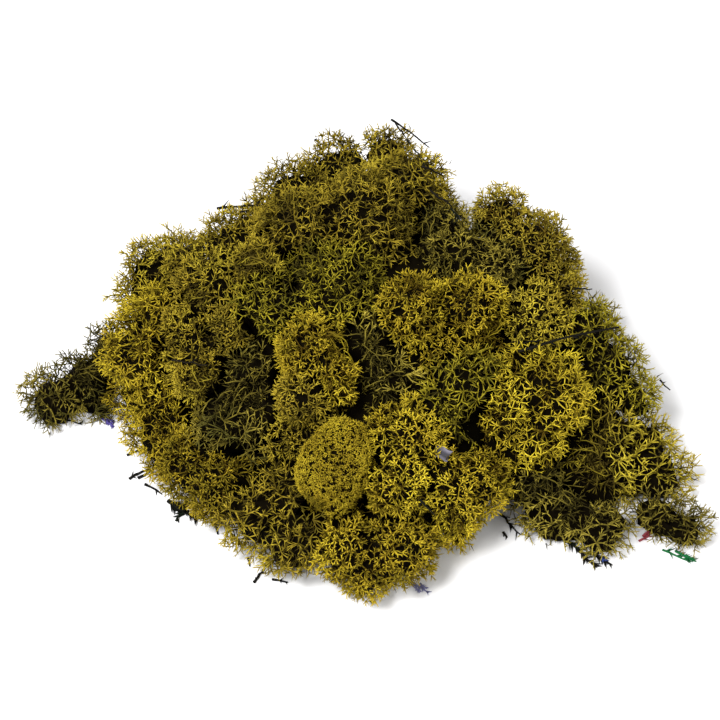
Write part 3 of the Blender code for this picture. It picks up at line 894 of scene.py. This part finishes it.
def inside_heights(tree, x, y):
    """Heights of the matted inside: the heap's own, drawn in all round, less a depth.

    Gaps that go down to the floor are closed first where the heap is high round about.
    """
    starts = zip(x.ravel(), y.ravel())
    hits = [tree.ray_cast(Vector((a, b, ABOVE)), -Vector(UP))[0] for a, b in starts]
    top = np.array([hit[2] if hit else 0.0 for hit in hits]).reshape(x.shape)
    closed = round_about(top, GAP_SQUARES, np.max)
    lowest = round_about(top, INSET_SQUARES, np.min)
    lowest_closed = round_about(closed, GAP_SQUARES + INSET_SQUARES, np.min)
    filled = np.where(lowest_closed > HIGH_HEAP, np.maximum(lowest, lowest_closed), lowest)
    return np.maximum(filled - INSIDE_DEPTH, 0.0)


def painted_shade_inside(tree):
    """The dark moss deep in the heap, near-black as painted shade, which closes the view between tufts:
    a closed Growth.

    Its top is a square grid at inside_heights and its base is flat. Places with no height are shared by both.
    """
    low, high = np.array(CAD_BOX)[:, :2] * METRE
    wide, long = (np.arange(low[i] - INSIDE_CELL, high[i] + 2 * INSIDE_CELL, INSIDE_CELL) for i in range(2))
    x, y = np.meshgrid(wide, long)
    height = inside_heights(tree, x, y)
    points = np.stack([x, y, np.maximum(height, INSIDE_BASE)], axis=2).reshape(-1, 3)
    base = points * [1.0, 1.0, 0.0] + UP * INSIDE_BASE
    number = np.arange(len(points)).reshape(x.shape)
    under = np.where(height > 0.0, number + len(points), number)
    raised = np.max(square_corners(height), axis=0) > 0.0
    a, b, c, d = (corner[raised] for corner in square_corners(number))
    e, f, g, h = (corner[raised] for corner in square_corners(under))
    faces = [np.stack(face, axis=1) for face in ((a, b, c), (a, c, d), (g, f, e), (h, g, e))]
    used, faces = np.unique(np.concatenate(faces), return_inverse=True)
    both = np.concatenate([points, base])[used]
    growth = Growth()
    growth.add(both, faces.reshape(-1, 3), spread_marks(both, MATTED_AGE, MATTED_TINT))
    return growth


def square_corners(grid):
    """A grid's values at the four corners of every square, in order round it."""
    return [grid[:-1, :-1], grid[:-1, 1:], grid[1:, 1:], grid[1:, :-1]]


def make_piece(name, growth, material):
    """A mesh piece in metres that rides on the body. Age and tint are its map's two directions."""
    points = np.concatenate(growth.points) / METRE
    faces = np.concatenate(growth.faces)
    marks = np.concatenate(growth.marks)
    mesh = bpy.data.meshes.new(name)
    mesh.vertices.add(len(points))
    mesh.vertices.foreach_set("co", points.ravel())
    mesh.loops.add(faces.size)
    mesh.loops.foreach_set("vertex_index", faces.ravel())
    mesh.polygons.add(len(faces))
    mesh.polygons.foreach_set("loop_start", np.arange(0, faces.size, 3))
    layer = mesh.uv_layers.new(name="OFBake")
    layer.uv.foreach_set("vector", marks[faces.ravel()].ravel())
    mesh.update(calc_edges=True)
    mesh.shade_smooth()
    mesh.materials.append(material)
    piece = bpy.data.objects.new(name, mesh)
    bpy.context.collection.objects.link(piece)
    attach(piece, "root")
    return piece


class Sock:
    """A shader socket with arithmetic: an expression on sockets adds the Math nodes that work it out."""

    def __init__(self, tree, link):
        self.tree, self.link = tree, link

    def _math(self, operation, *values):
        return node(self.tree, "ShaderNodeMath", {"operation": operation}, 0, dict(enumerate(values)))

    def __sub__(self, other):
        return self._math("SUBTRACT", self, other)

    def __rsub__(self, other):
        return self._math("SUBTRACT", other, self)

    def __mul__(self, other):
        return self._math("MULTIPLY", self, other)

    __rmul__ = __mul__


def put(tree, socket, value):
    """Link a socket to another's output, or set its value."""
    if isinstance(value, Sock):
        tree.links.new(value.link, socket)
    else:
        socket.default_value = value


def node(tree, kind, settings=(), out=0, inputs=()):
    """A shader node of a type, with its settings made first and then its sockets set or linked."""
    made = tree.nodes.new(kind)
    for key, value in dict(settings).items():
        if key == "stops":
            ramp_stops(made.color_ramp, value)
        else:
            setattr(made, key, value)
    for key, value in dict(inputs).items():
        put(tree, made.inputs[key], value)
    return Sock(tree, made.outputs[out])


def ramp_stops(ramp, stops):
    """Give a colour ramp these (place, colour) stops."""
    while len(ramp.elements) > 1:
        ramp.elements.remove(ramp.elements[-1])
    for number, (place, colour) in enumerate(stops):
        stop = ramp.elements[0] if number == 0 else ramp.elements.new(place)
        stop.position = place
        stop.color = (*colour, 1.0)


# Colours along a branch, from its base to its tip, where the moss is shaded and where it is sunny. Up to
# INSIDE_AGE it has the near-black colour of the inside, which is painted shade.
INSIDE_SHADE = (0.0036, 0.0026, 0.0010)
INSIDE_AGE = 0.12
MOSS = {
    "moss_gold": dict(inner=(0.057, 0.037, 0.004), shaded=(0.28, 0.186, 0.013), sunny=(0.71, 0.562, 0.038)),
    "moss_olive": dict(inner=(0.045, 0.033, 0.006), shaded=(0.23, 0.155, 0.015), sunny=(0.59, 0.475, 0.043)),
    "moss_green": dict(inner=(0.038, 0.031, 0.006), shaded=(0.18, 0.143, 0.013), sunny=(0.52, 0.440, 0.028)),
    "moss_brown": dict(inner=(0.066, 0.042, 0.005), shaded=(0.24, 0.172, 0.018), sunny=(0.62, 0.490, 0.050)),
    "moss_dusky": dict(inner=(0.032, 0.026, 0.006), shaded=(0.125, 0.098, 0.016), sunny=(0.44, 0.352, 0.050)),
}
# The greenest moss, at the lowest tints, is darker: a deeper painted shade, and greener. This is what it
# keeps of its shaded colour, channel by channel
GREEN_SHADE = (0.66, 0.78, 1.0)
# It fades out as the tint rises from 0, this many times as fast as the tint
GREEN_SHADE_FADE = 4.5
# How rough moss is at its base, and how much less at its tips
MOSS_ROUGH = (0.9, 0.25)
MOSS_SHINE = 0.02
DULL_SHINE = 0.08
# How bright a branch is at each age: a share of its inner colour, or of its colour near the tip. The steep
# fall towards the base is partly the moss's own darker base and partly painted shade deep in the heap.
INNER_AGES = ((0.3, 0.5), (0.5, 1.45))
OUTER_AGES = ((0.66, 0.48), (0.8, 0.86), (1.0, 1.34))


def dimmed(colour, share):
    """A colour dimmed to a share of itself, never under the inside's painted shade."""
    return tuple(max(channel * share, dark) for channel, dark in zip(colour, INSIDE_SHADE))


def moss_material(slot):
    """Moss that darkens from its tips to its base: partly its own darker base, partly painted shade.

    Round its tips it goes from a darker, greener painted shade through shaded to sunny as the tint rises.
    """
    material, tree, shader, age, tint = new_material(slot, MOSS_SHINE)
    inner, shaded, sunny = (MOSS[slot][kind] for kind in ("inner", "shaded", "sunny"))
    green_shade = tuple(channel * share for channel, share in zip(shaded, GREEN_SHADE))
    ramps = []
    for outer in (green_shade, shaded, sunny):
        stops = [(0.0, INSIDE_SHADE), (INSIDE_AGE, INSIDE_SHADE)]
        stops += [(place, dimmed(inner, share)) for place, share in INNER_AGES]
        stops += [(place, dimmed(outer, share)) for place, share in OUTER_AGES]
        ramps.append(node(tree, "ShaderNodeValToRGB", {"stops": stops}, 0, {"Fac": age}))
    colours = {"data_type": "RGBA"}
    low = node(tree, "ShaderNodeMix", colours, 2, {0: tint * GREEN_SHADE_FADE, 6: ramps[0], 7: ramps[1]})
    colour = node(tree, "ShaderNodeMix", colours, 2, {0: tint, 6: low, 7: ramps[2]})
    put(tree, shader.inputs["Base Color"], colour)
    put(tree, shader.inputs["Roughness"], MOSS_ROUGH[0] - age * MOSS_ROUGH[1])
    return material


def new_material(name, shine):
    """A new material of this shine, with its nodes, its shader and the two directions of its map."""
    material = bpy.data.materials.new(name)
    material.use_nodes = True
    tree = material.node_tree
    shader = tree.nodes["Principled BSDF"]
    shader.inputs["Specular IOR Level"].default_value = shine
    marks = node(tree, "ShaderNodeUVMap", {"uv_map": "OFBake"})
    age, tint = (node(tree, "ShaderNodeSeparateXYZ", {}, out, {0: marks}) for out in (0, 1))
    return material, tree, shader, age, tint


def plain_material(name, stops, roughness):
    """A dull material whose colour follows these stops of the tint."""
    material, tree, shader, _, tint = new_material(name, DULL_SHINE)
    colour = node(tree, "ShaderNodeValToRGB", {"stops": stops}, 0, {"Fac": tint})
    put(tree, shader.inputs["Base Color"], colour)
    shader.inputs["Roughness"].default_value = roughness
    return material


# The stage: the floor's size, colour and roughness, the sky's colour and strength, the lamps' place, size and
# power, in metres and watts, and the camera's lens and film width in millimetres
FLOOR_SIZE = 6.0
FLOOR_COLOUR = (0.86, 0.86, 0.87, 1.0)
FLOOR_ROUGH = 0.9
SKY_COLOUR = (1.0, 0.99, 0.98, 1.0)
SKY_STRENGTH = 0.55
LENS = 100.0
FILM = 36.0
LAMPS = {"key": ((-0.4, -0.5, 1.1), 0.35, 22.0), "fill": ((0.9, -0.6, 0.8), 0.8, 5.0)}


def build_floor():
    """A plain pale floor."""
    bpy.ops.mesh.primitive_plane_add(size=FLOOR_SIZE)
    floor = bpy.context.object
    floor.name = "floor"
    material = bpy.data.materials.new("pale floor")
    material.use_nodes = True
    shader = material.node_tree.nodes["Principled BSDF"]
    shader.inputs["Base Color"].default_value = FLOOR_COLOUR
    shader.inputs["Roughness"].default_value = FLOOR_ROUGH
    floor.data.materials.append(material)


def build_light():
    """Soft studio light: an even pale sky, and a key and a fill lamp that face the heap."""
    world = bpy.data.worlds.new("studio")
    bpy.context.scene.world = world
    world.use_nodes = True
    sky = world.node_tree.nodes["Background"]
    sky.inputs["Color"].default_value = SKY_COLOUR
    sky.inputs["Strength"].default_value = SKY_STRENGTH
    for name, (place, size, power) in LAMPS.items():
        data = bpy.data.lights.new(name, "AREA")
        data.energy = power
        data.size = size
        lamp = bpy.data.objects.new(name, data)
        bpy.context.collection.objects.link(lamp)
        lamp.location = place
        lamp.rotation_euler = (-Vector(place)).to_track_quat("-Z", "Y").to_euler()


def build_camera():
    """The camera, at the photograph's angle. Its lens makes one unit of slope PIXELS_FAR pixels."""
    data = bpy.data.cameras.new("camera")
    data.lens = LENS
    data.sensor_width = FILM
    camera = bpy.data.objects.new("camera", data)
    bpy.context.collection.objects.link(camera)
    camera.location = (AIM + BACK * DISTANCE) / METRE
    camera.rotation_euler = Vector(-BACK).to_track_quat("-Z", "Y").to_euler()
    bpy.context.scene.camera = camera
    bpy.context.scene.view_settings.view_transform = "Standard"


# Sticks: how many points and sides a loose one has, how much they taper, their age and its rise, and how far
# the middle of a crooked one strays, as a share of its length
STICK = dict(points=6, sides=5, taper=0.5, age=(0.15, 0.6), crook=0.035)
# Their side shoots: between which shares of the stick they stand, how far they tilt up or down, their length
# as a share of the stick, the shortest and longest and how it varies, how far forward they lean, and their
# width and age
SHOOT = dict(between=(0.1, 0.95), tilt=0.5, share=0.28, reach=(1.2, 4.0), varied=(0.6, 1.2), forward=0.8,
             width=0.8, age=0.7)
# A packed twig: how many rings of corners it has, how far its line strays, and its tint. Then the tints of
# the loose needles, and how high their middle lies at least, in radii.
TWIG = dict(rings=7, stray=0.12, tint=0.3)
NEEDLE_TINTS = (0.05, 0.95)
NEEDLE_LOWEST = 0.9
# Each twig's radius, and how many side shoots it has
TWIGS = {
    "twig_right": (0.75, 5), "twig_crest": (0.5, 1), "twig_upper_left": (0.6, 7), "twig_front_left": (0.6, 2),
    "twig_front": (0.6, 2),
}
BARK = ((0.0, (0.008, 0.006, 0.004)), (0.5, (0.004, 0.004, 0.003)), (1.0, (0.005, 0.008, 0.004)))


def build_twigs(tree):
    """The dark twigs in place of their packed sticks, and the loose needles, all of one bark."""
    rng = np.random.default_rng(SEEDS["twigs"])
    bark = plain_material("twig", BARK, roughness=0.7)
    for name, (radius, shoots) in TWIGS.items():
        growth = Growth()
        line = spine(name) + rng.normal(size=(TWIG["rings"], 3)) * TWIG["stray"]
        add_stick(growth, line, radius, shoots, TWIG["tint"], rng)
        piece = make_piece(name + "_bark", growth, bark)
        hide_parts(name)
    growth = loose_needles(tree, rng)
    make_piece("loose_needles", growth, bark)


def loose_needles(tree, rng):
    """The loose needles, on the heap and on the floor beside it, as one Growth."""
    growth = Growth()
    for rows, on_moss in ((NEEDLES_ON_HEAP, True), (NEEDLES_ON_FLOOR, False)):
        for first, last, radius, shoots in rows.values():
            if on_moss:
                ends = [on_heap(tree, *end, NEEDLE_GAP) for end in (first, last)]
            else:
                ends = [on_floor(*end) for end in (first, last)]
            line = crooked(*ends, STICK["points"], rng)
            line[:, 2] = np.maximum(line[:, 2], radius * NEEDLE_LOWEST)
            add_stick(growth, line, radius, shoots, rng.uniform(*NEEDLE_TINTS), rng)
    return growth


def build_crumbs():
    """The dyed crumbs on the floor, each a few short sticks of one colour, which its tint picks."""
    rng = np.random.default_rng(SEEDS["crumbs"])
    stops, growth = [], Growth()
    for number, (first, last, colour) in enumerate(DYED_CRUMBS.values()):
        tint = (number + 0.5) / len(DYED_CRUMBS)
        stops += [(tint - CRUMB["band"], colour), (tint + CRUMB["band"], colour)]
        for stick in range(CRUMB["sticks"]):
            line = crooked(on_floor(*first), on_floor(*last), CRUMB["points"], rng)
            line += rng.normal(size=3) * CRUMB["stray"]
            line[:, 2] = np.maximum(line[:, 2] + stick * CRUMB["rise"], CRUMB["lowest"])
            add_stick(growth, line[stick:], CRUMB["radius"], CRUMB["shoots"], tint, rng)
    make_piece("dyed_crumbs", growth, plain_material("dyed crumbs", stops, roughness=0.85))


# The scrap's colours across it, from its lower edge to its upper
PALE = (
    (0.1, (0.15, 0.14, 0.18)), (0.35, (0.04, 0.04, 0.045)), (0.6, (0.05, 0.048, 0.06)),
    (0.85, (0.18, 0.17, 0.21)),
)


def two_skins(rows, columns):
    """Triangles of a closed sheet: a grid's points, the same points again for its back, and a rim."""
    back = rows * columns
    grid = np.arange(back).reshape(rows, columns)
    a, b, c, d = (part.ravel() for part in square_corners(grid))
    faces = np.concatenate([np.stack([a, b, c], axis=1), np.stack([a, c, d], axis=1)])
    edge = np.concatenate([grid[0, :-1], grid[:-1, -1], grid[-1, :0:-1], grid[:0:-1, 0]])
    after = np.roll(edge, -1)
    rim = [np.stack([edge, edge + back, after + back], axis=1), np.stack([edge, after + back, after], axis=1)]
    return np.concatenate([faces, faces[:, ::-1] + back, *rim])


def build_scrap(tree):
    """A pale scrap folded down its middle: a sheet with two skins.

    Its height falls evenly from the fold to both edges, plus a low wave along it, and a wave makes its
    edge ragged.
    """
    columns, rows = SCRAP_GRID
    u, v = (side.ravel() for side in np.meshgrid(np.linspace(-1, 1, columns), np.linspace(-1, 1, rows)))
    deep, fast_across, fast_along = SCRAP_RAGGED
    ragged = 1.0 + deep * np.sin(fast_across * u + fast_along * v)
    height = SCRAP_FOLD[0] - SCRAP_FOLD[1] * np.abs(u) + SCRAP_WAVE[0] * np.sin(SCRAP_WAVE[1] * v)
    sheet = np.stack([SCRAP_SIZE[0] * u * ragged, SCRAP_SIZE[1] * v * ragged, height], axis=1)
    cos, sin = math.cos(SCRAP_TURN), math.sin(SCRAP_TURN)
    across = np.array([cos, sin, 0.0])
    rise = np.array([-sin * math.cos(SCRAP_LEAN), cos * math.cos(SCRAP_LEAN), math.sin(SCRAP_LEAN)])
    facing = np.cross(across, rise)
    front = sheet @ np.stack([across, rise, facing]) + on_heap(tree, *SCRAP, NEEDLE_GAP)
    both = np.concatenate([front, front - SCRAP_THICK * facing])
    marks = np.stack([0.5 + 0.4 * u, 0.5 + 0.4 * v], axis=1)
    growth = Growth()
    growth.add(both, two_skins(rows, columns), np.tile(marks, (2, 1)))
    make_piece("pale_scrap", growth, plain_material("pale scrap", PALE, roughness=0.8))


def build_moss(tree):
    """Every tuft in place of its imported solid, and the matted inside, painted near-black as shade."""
    rows = HOLLOWS.values()
    hollows = np.array([(*on_heap(tree, column, row, HOLLOW_GAP), radius) for column, row, radius in rows])
    slots = {row["node"]: row["material_slot"] for row in frame["record"]["subparts"]}
    materials = {slot: moss_material(slot) for slot in MOSS}
    make_piece("painted_shade_inside", painted_shade_inside(tree), materials["moss_dusky"])
    for number, name in enumerate(TUFTS):
        growth = grow(name, tree, hollows, np.random.default_rng(SEEDS["moss"] + number))
        piece = make_piece(name + "_moss", growth, materials[slots[name]])
        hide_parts(name)


heap = heap_tree()
build_moss(heap)
build_twigs(heap)
build_crumbs()
build_scrap(heap)
build_floor()
build_light()
build_camera()
